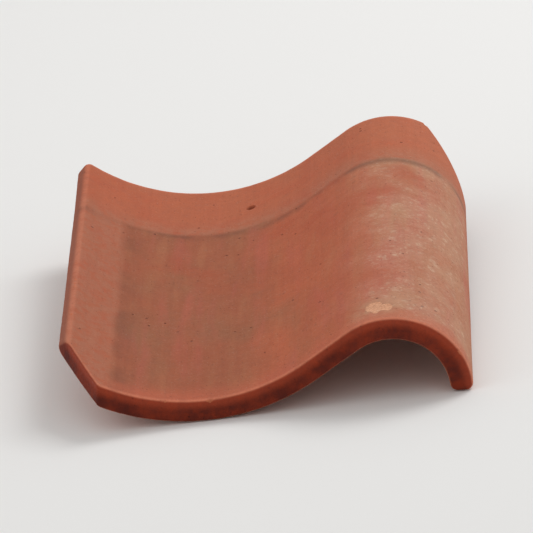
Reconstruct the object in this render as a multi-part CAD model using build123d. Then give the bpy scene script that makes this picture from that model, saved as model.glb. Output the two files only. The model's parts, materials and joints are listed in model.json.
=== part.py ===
"""A single-lap clay pantile: one S-shaped sheet of fired clay with a hanging nib and a nail hole.

The tile is drawn as it lies in a roof. X runs across it, from the lip on the left to the roll on
the right. Y runs up the slope, from the tail that shows to the head that the next course covers.
Z points out of the roof, and the floor of the pan, on the weathered face, is at X = 0, Z = 0.
At the end the tile is laid on a level floor, on the three places that carry it there.
"""

from math import acos, atan2, copysign, cos, hypot, radians, sin, tan
import os

from build123d import *

# The sheet of clay, in millimetres
TILE_LENGTH = 343.0
WALL = 14.0

# The S of the weathered face: an arc for lip and pan, a straight flank, an arc for the roll
PAN_RADIUS = 120.0
LIP_ANGLE = 35.0
FLANK_ANGLE = 38.0
FLANK_LENGTH = 30.0
ROLL_RADIUS = 48.0
ROLL_FALL_ANGLE = 88.0

# Rounding of the two long edges, and of the arrises round the tail and the head
LONG_EDGE_ROUND = 4.5
END_ARRIS_ROUND = 1.5

# The cut corners, at the tail beside the lip and at the head beside the roll
CORNER_CUT_ACROSS = 26.0
CORNER_CUT_ALONG = 55.0

# The nib under the head of the pan, which hooks over the batten with its square tail face
NIB_WIDTH = 46.0
NIB_DEPTH = 17.0
NIB_THICKNESS = 20.0
NIB_SETBACK = 8.0
NIB_DRAFT_ANGLE = 9.0
NIB_ROUND = 2.5
NIB_ROOT_ROUND = 4.0

# The nail hole, beside the nib on the flank side and over the batten
NAIL_HOLE_RADIUS = 3.0
NAIL_FROM_BEARING = 13.0
NAIL_ARC_ANGLE = 18.0

TAIL_Y = -TILE_LENGTH / 2
HEAD_Y = TILE_LENGTH / 2
BEARING_Y = HEAD_Y - NIB_SETBACK - NIB_THICKNESS
NIB_ROOT_Z = -WALL / 2
NIB_TIP_Z = -WALL - NIB_DEPTH
NIB_TAPER = (NIB_ROOT_Z - NIB_TIP_Z) * tan(radians(NIB_DRAFT_ANGLE))


def along(angle):
    """Unit vector in the section, at an angle in degrees from across the tile towards outwards."""
    return Vector(cos(radians(angle)), sin(radians(angle)))


# Centres of the two curves of the S: the flank is a straight line that is tangent to both
PAN_CENTRE = Vector(0, PAN_RADIUS)
FLANK_NORMAL = along(FLANK_ANGLE - 90)
FLANK_FOOT = PAN_CENTRE + FLANK_NORMAL * PAN_RADIUS
ROLL_CENTRE = FLANK_FOOT + along(FLANK_ANGLE) * FLANK_LENGTH + FLANK_NORMAL * ROLL_RADIUS


def s_line(depth):
    """The S at a depth below the weathered face: its three pieces, its lip end and its roll end."""
    pan = CenterArc(PAN_CENTRE, PAN_RADIUS + depth, 270 - LIP_ANGLE, LIP_ANGLE + FLANK_ANGLE)
    roll_turn = FLANK_ANGLE + ROLL_FALL_ANGLE
    roll = CenterArc(ROLL_CENTRE, ROLL_RADIUS - depth, 90 + FLANK_ANGLE, -roll_turn)
    return [pan, Line(pan @ 1, roll @ 0), roll], pan @ 0, roll @ 1


def section():
    """The section across the tile, with its two long edges rounded."""
    weathered, lip_top, roll_outside = s_line(0)
    underside, lip_bottom, roll_inside = s_line(WALL)
    ends = [Line(lip_top, lip_bottom), Line(roll_outside, roll_inside)]
    sheet = make_face(weathered + underside + ends)
    end_points = (lip_top, lip_bottom, roll_outside, roll_inside)
    corners = [sheet.vertices().sort_by_distance(point)[0] for point in end_points]
    return fillet(corners, LONG_EDGE_ROUND)


def corner_cutter(corner, inwards):
    """A triangular prism for one corner of the tile, a little larger than what it cuts off."""
    legs = Vector(inwards.X * CORNER_CUT_ACROSS, inwards.Y * CORNER_CUT_ALONG)
    outer_share = 0.3
    apex = corner - legs * outer_share
    reach = legs * (1 + 2 * outer_share)
    outline = Polyline(apex, apex + Vector(reach.X, 0), apex + Vector(0, reach.Y), close=True)
    return extrude(make_face(outline), amount=PAN_RADIUS + ROLL_RADIUS + WALL, both=True)


def sheet_of_clay():
    """The S drawn out to the tile's length, its corners cut, its tail and head arrises rounded."""
    sheet = extrude(Plane.XZ * section(), amount=TILE_LENGTH / 2, both=True)
    box = sheet.bounding_box()
    sheet -= corner_cutter(Vector(box.min.X, TAIL_Y), Vector(1, 1))
    sheet -= corner_cutter(Vector(box.max.X, HEAD_Y), Vector(-1, -1))
    by_place_along = sheet.edges().group_by(Axis.Y)
    return fillet(by_place_along[0] + by_place_along[-1], END_ARRIS_ROUND)


def nib():
    """The nib, square on its bearing face and drafted on the other three, rooted in the wall."""
    height = NIB_ROOT_Z - NIB_TIP_Z
    middle = Pos(0, BEARING_Y + NIB_THICKNESS / 2, NIB_ROOT_Z - height / 2)
    block = middle * Box(NIB_WIDTH, NIB_THICKNESS, height)
    head_side = block.faces().sort_by(Axis.Y)[-1]
    drafted_faces = block.faces().filter_by(Axis.X) + [head_side]
    hanging_from_root = Plane(origin=(0, 0, NIB_ROOT_Z), z_dir=(0, 0, -1))
    block = draft(drafted_faces, hanging_from_root, NIB_DRAFT_ANGLE)
    root_face = block.faces().sort_by(Axis.Z)[-1]
    return fillet(block.edges() - root_face.edges(), NIB_ROUND)


def nail_hole():
    """The nail hole's drill, square to the clay at its place in the pan."""
    outwards = along(90 + NAIL_ARC_ANGLE)
    mouth = PAN_CENTRE - outwards * PAN_RADIUS
    axis_at_mouth = Plane(
        origin=(mouth.X, BEARING_Y - NAIL_FROM_BEARING, mouth.Y),
        x_dir=(0, 1, 0),
        z_dir=(outwards.X, 0, outwards.Y),
    )
    return axis_at_mouth * Cylinder(NAIL_HOLE_RADIUS, 3 * WALL)


def tile_in_roof():
    """The whole tile, in its place in a roof."""
    sheet = sheet_of_clay()
    hook = nib()
    body = sheet + hook
    root_edges = new_edges(sheet, hook, combined=body)
    body = fillet(root_edges, NIB_ROOT_ROUND)
    return body - nail_hole()


def floor_under_tile():
    """The level floor that the tile comes to rest on, as a plane in the roof's frame.

    At the tail the floor touches the round back of the pan and a rounded corner of the roll's
    edge, so its line there is the common tangent of two circles, and of the edge's two corners
    it meets the one that needs the smaller lean. At the head it touches the rounded corner of
    the nib on the side that it leans up to, beside the bearing face.
    """
    back_radius = PAN_RADIUS + WALL

    def lean_on_corner(depth):
        outwards = along(90 - ROLL_FALL_ANGLE) * (ROLL_RADIUS - depth)
        upwards = along(180 - ROLL_FALL_ANGLE) * LONG_EDGE_ROUND
        across = PAN_CENTRE - (ROLL_CENTRE + outwards + upwards)
        return -atan2(across.X, across.Y) - acos((back_radius - LONG_EDGE_ROUND) / across.length)

    lean = min(lean_on_corner(LONG_EDGE_ROUND), lean_on_corner(WALL - LONG_EDGE_ROUND))
    up_in_section = Vector(-sin(lean), 0, cos(lean))
    on_line = Vector(0, TAIL_Y, PAN_CENTRE.Y) - up_in_section * back_radius

    lean_of_side = radians(NIB_DRAFT_ANGLE)
    corner_inset = NIB_ROUND * (1 - sin(lean_of_side)) / cos(lean_of_side)
    corner_x = copysign(NIB_WIDTH / 2 - NIB_TAPER - corner_inset, lean)
    to_corner = Vector(corner_x, BEARING_Y + NIB_ROUND, NIB_TIP_Z + NIB_ROUND) - on_line
    rise = to_corner.dot(up_in_section)
    run = to_corner.Y
    pitch = atan2(run, rise) - acos(NIB_ROUND / hypot(run, rise))
    up = up_in_section * cos(pitch) + Vector(0, sin(pitch), 0)
    uphill = Vector(0, 1, 0) - up * up.Y
    return Plane(origin=on_line, x_dir=uphill.cross(up), z_dir=up)


def tile_at_rest():
    """The tile on the floor, with the middle of its footprint at the origin."""
    tile = floor_under_tile().to_local_coords(tile_in_roof())
    box = tile.bounding_box()
    return Pos(-box.center().X, -box.center().Y, -box.min.Z) * tile


os.makedirs("parts", exist_ok=True)
export_step(tile_at_rest(), "parts/pantile.step")
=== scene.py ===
"""A single-lap clay pantile on a level floor: its worn shape, its fired finish and a soft studio.

The tile is worked out in millimetres as it lies in a roof. X runs across it from the lip to the
roll, Y up the slope from the tail to the head and Z out of the roof, with the floor of the pan at
X = 0, Z = 0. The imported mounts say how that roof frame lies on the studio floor.
"""

import json
import logging
from dataclasses import dataclass, field
from enum import Enum
from typing import NamedTuple

import bpy
import numpy as np
from mathutils import Matrix, Vector


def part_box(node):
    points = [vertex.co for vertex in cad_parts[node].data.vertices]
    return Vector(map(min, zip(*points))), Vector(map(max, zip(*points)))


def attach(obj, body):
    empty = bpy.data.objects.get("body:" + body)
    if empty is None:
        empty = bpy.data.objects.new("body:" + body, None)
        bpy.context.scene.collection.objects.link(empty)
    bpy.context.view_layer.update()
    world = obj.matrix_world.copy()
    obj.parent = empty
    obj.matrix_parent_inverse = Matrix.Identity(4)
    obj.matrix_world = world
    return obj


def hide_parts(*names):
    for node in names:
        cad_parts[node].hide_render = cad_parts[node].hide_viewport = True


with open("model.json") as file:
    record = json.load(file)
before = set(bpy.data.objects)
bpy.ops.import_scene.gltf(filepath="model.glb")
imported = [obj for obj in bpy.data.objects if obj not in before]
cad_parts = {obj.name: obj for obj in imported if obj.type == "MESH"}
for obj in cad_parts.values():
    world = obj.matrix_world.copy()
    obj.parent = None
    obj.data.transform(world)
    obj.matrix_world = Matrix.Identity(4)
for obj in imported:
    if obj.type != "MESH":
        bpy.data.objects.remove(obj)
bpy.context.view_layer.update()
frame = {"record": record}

Array = np.ndarray
Pair = tuple[float, float]
Triple = tuple[float, float, float]
Socket = bpy.types.NodeSocket

# A value is a number or a node's output. A paint is a colour from a node or as it looks on a
# screen. A coat is the share to which it covers, and its paint.
Value = Socket | float
Paint = Socket | Triple
Coat = tuple[Value, Paint]

MM = 0.001
log = logging.getLogger("pantile")

# The net of chance heights: knots along a side, and its start before the roof frame's origin
NET_KNOTS = 512
NET_MARGIN = 600.0

# What a distance in millimetres counts as, at least, where something is divided by it
LEAST_DISTANCE = 1e-6

# Numbers of the Mix node's colour sockets: share, first and second colour, and the result
MIX_INPUTS = (0, 6, 7)
MIX_RESULT = 2


class End(Enum):
    """The two ends of the tile, each with the way it points along the slope."""

    TAIL = -1
    HEAD = 1

    @property
    def row(self) -> int:
        """Number of the body's row at this end: the first at the tail, the last at the head."""
        return 0 if self is End.TAIL else -1


class Face(Enum):
    """The two broad faces of the sheet of clay."""

    WEATHERED = "weathered"
    UNDERSIDE = "underside"


def compass(degrees: Array | float) -> Array:
    """Unit vectors at the given angles, as cosine and sine in the last axis."""
    turn = np.radians(degrees)
    return np.stack((np.cos(turn), np.sin(turn)), axis=-1)


def ease(value: Array, start: float, stop: float) -> Array:
    """A smooth step: nought before start, one after stop, and an S between them."""
    share = np.clip((value - start) / (stop - start), 0.0, 1.0)
    return share * share * (3.0 - 2.0 * share)


def between(low: float, high: float, count: int) -> Array:
    """Evenly spaced numbers between two others, without those two."""
    return np.linspace(low, high, count + 2)[1:-1]


def nearest(line: Array, value: float) -> int:
    """Place in a line of numbers of the one that is nearest to a value."""
    return int(np.abs(line - value).argmin())


def side_by_side(*parts: Array | float) -> Array:
    """Numbers side by side in a last axis, each first spread to the shape that all can share."""
    return np.stack(np.broadcast_arrays(*parts), axis=-1)


def along_slope(flat: Array, along: Array | float) -> Array:
    """Points or ways of the section, given as X and Z, with a place or way along the slope."""
    return side_by_side(flat[..., 0], along, flat[..., 1])


def closed(grid: Array) -> Array:
    """A grid with its first column once more after its last."""
    return np.concatenate([grid, grid[:, :1]], axis=1)


def face_corners(grid: Array) -> list[Array]:
    """The four corners of each face of a grid, in their order round it."""
    return [grid[:-1, :-1], grid[:-1, 1:], grid[1:, 1:], grid[1:, :-1]]


def uneven(across: Array, along: Array, cells: Pair, seed: int) -> Array:
    """Smooth chance heights between -1 and 1 over the clay.

    Each knot of a net with the given cells has a chance height, and the heights are eased from
    knot to knot: a bilinear blend whose shares go through the smooth step.

    Args:
        across: Places across the tile, in millimetres.
        along: Places along the tile, in millimetres.
        cells: Size of a cell of the net across and along, in millimetres.
        seed: Chooses the chance heights.

    Returns:
        One height for each place.
    """
    knots = np.random.default_rng(seed).uniform(-1.0, 1.0, (NET_KNOTS, NET_KNOTS))
    right, up = (across + NET_MARGIN) / cells[0], (along + NET_MARGIN) / cells[1]
    column, row = np.floor(right).astype(int), np.floor(up).astype(int)
    share_right, share_up = ease(right - column, 0.0, 1.0), ease(up - row, 0.0, 1.0)

    def on_row(number: Array) -> Array:
        """Heights on a row of knots, blended from the knot on the left to the next."""
        left, next_one = (knots[(column + step) % NET_KNOTS, number % NET_KNOTS] for step in (0, 1))
        return left * (1 - share_right) + next_one * share_right

    return on_row(row) * (1 - share_up) + on_row(row + 1) * share_up


@dataclass(frozen=True)
class Roundel:
    """A long edge of the sheet: two rounded corners with a flat between them.

    Attributes:
        centre: Centre of the arc of the S that ends at this edge.
        end_angle: Angle of the radius on which the arc ends, in degrees.
        weathered_reach: Distance from the centre to the corner round by the weathered face.
        underside_reach: The same for the corner round by the underside.
        bulges_out: True where the weathered face is the outside of the arc.
        radius: Radius of both corner rounds.
    """

    centre: Array
    end_angle: float
    weathered_reach: float
    underside_reach: float
    bulges_out: bool
    radius: float

    def reach(self, face: Face) -> float:
        """Distance from the centre of the arc to the corner round beside a face."""
        return self.weathered_reach if face is Face.WEATHERED else self.underside_reach

    def setback(self, face: Face) -> float:
        """Angle in degrees from the end of the arc to where a face meets its corner round."""
        return float(np.degrees(np.arcsin(self.radius / self.reach(face))))

    def corner(self, face: Face) -> Array:
        """Centre of the corner round beside a face."""
        return self.centre + self.reach(face) * compass(self.end_angle + self.setback(face))

    def path(self, count: int) -> tuple[Array, Array]:
        """Points round the edge, from the weathered face to the underside.

        The outward normal swings over the first corner, rests along the flat while the centre
        moves from one corner to the other, and swings over the second corner. A point is the
        centre plus the radius times the normal.

        Args:
            count: Number of points, evenly spaced, without the two that belong to the faces.

        Returns:
            The points and their outward normals.
        """
        first, second = self.corner(Face.WEATHERED), self.corner(Face.UNDERSIDE)
        start = self.end_angle + self.setback(Face.WEATHERED) - (0 if self.bulges_out else 180)
        flat = self.end_angle - 90
        stop = self.end_angle + self.setback(Face.UNDERSIDE) - (180 if self.bulges_out else 0)
        swings = self.radius * np.radians(np.abs([flat - start, stop - flat]))
        run = float(np.hypot(*(second - first)))
        knots = np.cumsum([0.0, swings[0], run, swings[1]])
        way = between(0.0, knots[-1], count)
        normals = compass(np.interp(way, knots, [start, flat, flat, stop]))
        moved = np.interp(way, knots, [0.0, 0.0, 1.0, 1.0])[:, None]
        return first + (second - first) * moved + self.radius * normals, normals


@dataclass(frozen=True)
class Section:
    """The S across the tile: an arc for lip and pan, a straight flank and an arc for the roll.

    A station is a distance along the weathered face from the end of the lip, in millimetres.
    The underside is the weathered line moved inwards by the wall, so it has the same stations.

    Attributes:
        wall: Thickness of the clay.
        pan_radius: Radius of the pan's weathered face.
        lip_angle: Angle of the pan's arc from its floor to the lip, in degrees.
        flank_angle: Slope of the flank, in degrees.
        flank_length: Length of the flank.
        roll_radius: Radius of the roll's weathered face.
        roll_fall: Angle of the roll's arc from its crown to its edge, in degrees.
        edge_round: Radius of the rounds of the long edges.
        stations: Points across each face.
        edge_stations: Points round each long edge, between the faces.
    """

    wall: float = 14.0
    pan_radius: float = 120.0
    lip_angle: float = 35.0
    flank_angle: float = 38.0
    flank_length: float = 30.0
    roll_radius: float = 48.0
    roll_fall: float = 88.0
    edge_round: float = 4.5
    stations: int = 201
    edge_stations: int = 15

    @property
    def pan_centre(self) -> Array:
        """Centre of the pan's arc."""
        return np.array([0.0, self.pan_radius])

    @property
    def foot(self) -> Array:
        """Foot of the flank, where the pan's arc ends."""
        return self.pan_centre - compass(self.flank_angle + 90) * self.pan_radius

    @property
    def roll_centre(self) -> Array:
        """Centre of the roll's arc."""
        top = self.foot + compass(self.flank_angle) * self.flank_length
        return top - compass(self.flank_angle + 90) * self.roll_radius

    @property
    def floor_station(self) -> float:
        """Station of the floor of the pan."""
        return self.pan_radius * float(np.radians(self.lip_angle))

    @property
    def foot_station(self) -> float:
        """Station of the foot of the flank."""
        return self.pan_radius * float(np.radians(self.lip_angle + self.flank_angle))

    @property
    def crown_station(self) -> float:
        """Station of the crown of the roll."""
        on_roll = self.roll_radius * float(np.radians(self.flank_angle))
        return self.foot_station + self.flank_length + on_roll

    @property
    def last_station(self) -> float:
        """Station of the end of the roll."""
        return self.crown_station + self.roll_radius * float(np.radians(self.roll_fall))

    @property
    def lip(self) -> Roundel:
        """The long edge of the lip."""
        reaches = self.pan_radius + self.edge_round, self.pan_radius + self.wall - self.edge_round
        return Roundel(self.pan_centre, 270 - self.lip_angle, *reaches, False, self.edge_round)

    @property
    def roll(self) -> Roundel:
        """The long edge of the roll."""
        reaches = self.roll_radius - self.edge_round, self.roll_radius - self.wall + self.edge_round
        return Roundel(self.roll_centre, 90 - self.roll_fall, *reaches, True, self.edge_round)

    def trace(self, station: Array | float) -> tuple[Array, Array]:
        """The weathered line and its outward normal.

        On the pan a point is the pan's centre plus its radius at an angle that grows with the
        station, on the flank it moves straight up the flank from its foot, and on the roll it is
        the roll's centre plus its radius at an angle that shrinks with the station. The normal
        points to the pan's centre, square to the flank, and away from the roll's centre.

        Args:
            station: Stations, in an array of any shape.

        Returns:
            The points and the normals, with X and Z in a last axis.
        """
        station = np.asarray(station, float)
        on_pan = compass(270 - self.lip_angle + np.degrees(station / self.pan_radius))
        past_foot = station - self.foot_station
        turned = np.degrees((past_foot - self.flank_length) / self.roll_radius)
        on_roll = compass(90 + self.flank_angle - turned)
        straight = self.foot + compass(self.flank_angle) * past_foot[..., None]
        square_off = np.broadcast_to(compass(self.flank_angle + 90), straight.shape)
        where = [(past_foot < 0)[..., None], (past_foot > self.flank_length)[..., None]]
        points = [self.pan_centre + self.pan_radius * on_pan]
        points.append(self.roll_centre + self.roll_radius * on_roll)
        return np.select(where, points, straight), np.select(where, [-on_pan, on_roll], square_off)

    def face_stations(self, face: Face) -> Array:
        """Even stations across one face, between the rounds of the two long edges.

        Args:
            face: The face that they lie on.

        Returns:
            The stations, from the lip to the roll.
        """
        first = self.pan_radius * np.radians(self.lip.setback(face))
        last = self.last_station - self.roll_radius * np.radians(self.roll.setback(face))
        return np.linspace(first, last, self.stations)

    def reach(self) -> Pair:
        """Lowest and highest X of the section, which lie on the rounds of its long edges."""
        low = self.lip.corner(Face.UNDERSIDE)[0] - self.edge_round
        return float(low), float(self.roll.corner(Face.WEATHERED)[0] + self.edge_round)


@dataclass(frozen=True)
class Ring:
    """The closed section as points in order: weathered, roll edge, underside, lip edge.

    Attributes:
        points: The points, with X and Z in the last axis.
        normals: Their outward normals.
        station: Their stations.
        depth: How far each lies below the weathered line.
    """

    points: Array
    normals: Array
    station: Array
    depth: Array

    @staticmethod
    def of(section: Section) -> "Ring":
        """Joins the two faces and the two long edges of a section into one closed ring.

        Args:
            section: The section.

        Returns:
            The ring.
        """
        top, below = (section.face_stations(face) for face in Face)
        top_points, top_normals = section.trace(top)
        low_points, low_normals = section.trace(below)
        low_points = low_points - section.wall * low_normals
        roll_points, roll_normals = section.roll.path(section.edge_stations)
        lip_points, lip_normals = section.lip.path(section.edge_stations)
        points = [top_points, roll_points, low_points[::-1], lip_points[::-1]]
        normals = [top_normals, roll_normals, -low_normals[::-1], lip_normals[::-1]]
        share = between(0.0, 1.0, section.edge_stations)
        at_lip, at_roll = (top[end] + (below[end] - top[end]) * share for end in (0, -1))
        depth_at_roll = section.roll_radius - np.hypot(*(roll_points - section.roll_centre).T)
        depth_at_lip = np.hypot(*(lip_points - section.pan_centre).T) - section.pan_radius
        full = np.full(section.stations, section.wall)
        return Ring(
            points=np.concatenate(points),
            normals=np.concatenate(normals),
            station=np.concatenate([top, at_roll, below[::-1], at_lip[::-1]]),
            depth=np.concatenate([0 * full, depth_at_roll, full, depth_at_lip[::-1]]),
        )


class Patch(NamedTuple):
    """A block of points of the skin.

    Attributes:
        points: Points in the roof frame, in millimetres, with X, Y and Z in the last axis.
        places: Station, place along the slope, depth in the wall and facing of each point.
        inward: The way each point moves for a millimetre of relief.
    """

    points: Array
    places: Array
    inward: Array


class Shell:
    """Gathers the points, grids and places of one closed surface and makes it a mesh."""

    def __init__(self) -> None:
        """Starts with no points and no faces."""
        self.patches: list[Patch] = []
        self.faces: list[Array] = []
        self.chart: list[Array] = []
        self.count = 0

    def add_points(self, patch: Patch) -> Array:
        """Adds a block of points.

        Args:
            patch: The points, in an array of any shape.

        Returns:
            The number of each point, in an array of the block's shape.
        """
        shape = patch.points.shape[:-1]
        numbers = self.count + np.arange(np.prod(shape, dtype=int)).reshape(shape)
        self.patches.append(Patch(*(block.reshape(-1, block.shape[-1]) for block in patch)))
        self.count += numbers.size
        return numbers

    def gathered(self) -> Patch:
        """All the points as one block."""
        return Patch(*(np.concatenate(blocks) for blocks in zip(*self.patches)))

    def add_grid(self, numbers: Array, chart: Array, leave_out: Array | None = None) -> None:
        """Adds the faces between neighbours of a grid.

        Args:
            numbers: Point numbers on a grid.
            chart: Place of each grid point on the flat chart, in millimetres.
            leave_out: True for each face of the grid that isn't made.
        """
        keep = np.ones(np.subtract(numbers.shape, 1), bool) if leave_out is None else ~leave_out
        self.faces.append(np.stack([corner[keep] for corner in face_corners(numbers)], axis=-1))
        self.chart.append(np.stack([corner[keep] for corner in face_corners(chart)], axis=-2))

    def mesh(
        self, name: str, points: Array, chart_side: float, marks: dict[str, Array]
    ) -> bpy.types.Mesh:
        """Makes the mesh, turning each four-sided face with two like corners into a triangle.

        Args:
            name: Name of the mesh.
            points: The final place of every point, in metres.
            chart_side: Side of the flat chart, in millimetres.
            marks: Three values for each point, by the name of the attribute that keeps them.

        Returns:
            The mesh of the points that have faces, with its chart as the map named OFBake.
        """
        used, faces = np.unique(np.concatenate(self.faces), return_inverse=True)
        faces = faces.reshape(-1, 4)
        keep = faces != np.roll(faces, -1, axis=1)
        sizes = keep.sum(axis=1)
        made = bpy.data.meshes.new(name)
        made.vertices.add(used.size)
        made.vertices.foreach_set("co", points[used].astype(np.float32).ravel())
        made.loops.add(int(sizes.sum()))
        made.loops.foreach_set("vertex_index", faces[keep].astype(np.int32))
        made.polygons.add(len(faces))
        starts = np.concatenate([[0], np.cumsum(sizes)[:-1]]).astype(np.int32)
        made.polygons.foreach_set("loop_start", starts)
        made.polygons.foreach_set("use_smooth", np.ones(len(faces), bool))
        made.update(calc_edges=True)
        chart = np.concatenate(self.chart)[keep] / chart_side
        made.uv_layers.new(name="OFBake").uv.foreach_set("vector", chart.astype(np.float32).ravel())
        for mark, values in marks.items():
            kept = made.attributes.new(mark, "FLOAT_VECTOR", "POINT")
            kept.data.foreach_set("vector", values[used].astype(np.float32).ravel())
        whole = int((sizes == 4).sum())
        log.info("%s: %d points, %d of %d faces four-sided", name, used.size, whole, len(faces))
        return made


@dataclass(frozen=True)
class Window:
    """A block left out of the body's grid, for a hole or a nib to be worked into."""

    rows: tuple[int, int]
    columns: tuple[int, int]

    def rim(self) -> tuple[Array, Array]:
        """Walks round the block, against the clock as seen from outside.

        Returns:
            The row and the column number of each point of its rim.
        """
        (low, high), (left, right) = self.rows, self.columns
        up, over = np.arange(low, high), np.arange(left, right)
        down, back = np.arange(high, low, -1), np.arange(right, left, -1)
        rows = [np.full(over.size, low), up, np.full(back.size, high), down]
        columns = [over, np.full(up.size, right), back, np.full(down.size, left)]
        return np.concatenate(rows), np.concatenate(columns)

    def clear(self, mask: Array) -> None:
        """Marks the block's faces in a mask of the faces that aren't made."""
        mask[slice(*self.rows), slice(*self.columns)] = True


@dataclass(frozen=True)
class Body:
    """The body's grid while the hole and the nib are worked into it.

    Attributes:
        points: Its points, with rows from tail to head and columns round the closed section.
        numbers: Their numbers in the shell, with the first column once more after the last.
        leave_out: True for each face of the grid that isn't made.
    """

    points: Array
    numbers: Array
    leave_out: Array


@dataclass(frozen=True)
class Chart:
    """Where the parts of the skin lie on the flat chart for baked finishes, in millimetres.

    Attributes:
        side: Side of the square chart.
        body: Left end and foot of the body.
        hole: Left end and foot of the nail hole's wall, laid out flat.
        hole_width: Width of that wall.
        hole_ring: Height of one of its rings.
        nib: Middle of the nib, laid out as one ring inside the other.
        nib_half: Half its width and half its height.
        end_left: Left end of both end faces.
        tail_foot: Foot of the tail's face.
        head_foot: Foot of the head's face.
        end_scale: How much larger than life the end faces are drawn.
        end_margin: Distance from the ends of the S to the long edges, as drawn there.
    """

    side: float = 640.0
    body: Pair = (14.0, 8.0)
    hole: Pair = (230.0, 460.0)
    hole_width: float = 57.0
    hole_ring: float = 4.0
    nib: Pair = (112.0, 545.0)
    nib_half: Pair = (94.0, 78.0)
    end_left: float = 24.0
    tail_foot: float = 372.0
    head_foot: float = 414.0
    end_scale: float = 2.0
    end_margin: float = 4.0


@dataclass(frozen=True)
class NailHole:
    """The nail hole through the pan, square to the clay, with softened rims.

    Attributes:
        radius: Radius of the hole.
        soft_rim: Radius of its softened rims.
        arc_angle: Angle from the floor of the pan about the pan's centre, in degrees.
        before_bearing: Distance from the nib's bearing face towards the tail.
        half_window: Rows and columns from the middle to the sides of its window.
        wall_steps: Rings down the straight wall, with the two that end the rims.
    """

    radius: float = 3.0
    soft_rim: float = 0.6
    arc_angle: float = 18.0
    before_bearing: float = 13.0
    half_window: int = 3
    wall_steps: int = 7

    def station(self, section: Section) -> float:
        """Station of the middle of the hole."""
        return section.pan_radius * float(np.radians(section.lip_angle + self.arc_angle))

    def profile(self, wall: float) -> tuple[Array, Array]:
        """Radius and depth of each ring, from the weathered rim down to the underside's.

        A rim is a quarter circle: its radius shrinks by the soft rim times the sine of the turn
        and its depth grows by the soft rim times one less the cosine.

        Args:
            wall: Thickness of the clay.

        Returns:
            The radii and the depths.
        """
        turn = np.radians([0.0, 45.0, 90.0])
        wide = self.radius + self.soft_rim * (1 - np.sin(turn))
        deep = self.soft_rim * (1 - np.cos(turn))
        straight = between(self.soft_rim, wall - self.soft_rim, self.wall_steps - 2)
        radii = np.concatenate([wide, np.full(straight.size, self.radius), wide[::-1]])
        return radii, np.concatenate([deep, straight, wall - deep[::-1]])

    def surface(self, section: Section, middle: Array, rim: Array) -> Patch:
        """The rings of the hole, with one more in each face, halfway to the window's rim.

        A point lies off the middle by its ring's radius, the way the rim's point does. Below the
        weathered face its station is drawn in by the pan's radius over that radius and the
        depth, which keeps the hole as wide as it is on top.

        Args:
            section: The section.
            middle: Station and place along the slope of the middle of the hole.
            rim: Station and place along the slope of the points of the window's rim.

        Returns:
            The points, with a row for each ring.
        """
        off_middle = rim - middle
        way = off_middle / np.linalg.norm(off_middle, axis=-1, keepdims=True)
        radii, depths = self.profile(section.wall)
        halfway = [(off_middle + way * radii[0]) / 2]
        offsets = np.concatenate([halfway, way * radii[:, None, None], halfway])
        depths = np.concatenate([[0.0], depths, [section.wall]])[:, None]
        shrink = section.pan_radius / (section.pan_radius + depths)
        station = middle[0] + offsets[..., 0] * shrink
        y = middle[1] + offsets[..., 1]
        flat, normals = section.trace(station)
        side = np.cos(np.pi * depths / section.wall)[..., None]
        return Patch(
            points=along_slope(flat - normals * depths[..., None], y),
            places=side_by_side(station, y, depths, 0.0),
            inward=-along_slope(normals, 0.0) * side,
        )


def rounded_outline(square: Array, half: Array, radius: float) -> tuple[Array, Array]:
    """Points on a rectangle with rounded corners.

    A point of the plain rectangle goes to the nearest point of the smaller core rectangle, and
    from there out again by the corner radius, the same way.

    Args:
        square: Places round the edge of the square from -1 to 1.
        half: Half the width and half the height of the outline.
        radius: Radius of its corners.

    Returns:
        The points, and the way that each faces.
    """
    plain = square * half
    core = np.clip(plain, radius - half, half - radius)
    facing = plain - core
    facing = facing / np.linalg.norm(facing, axis=-1, keepdims=True)
    return core + radius * facing, facing


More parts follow.
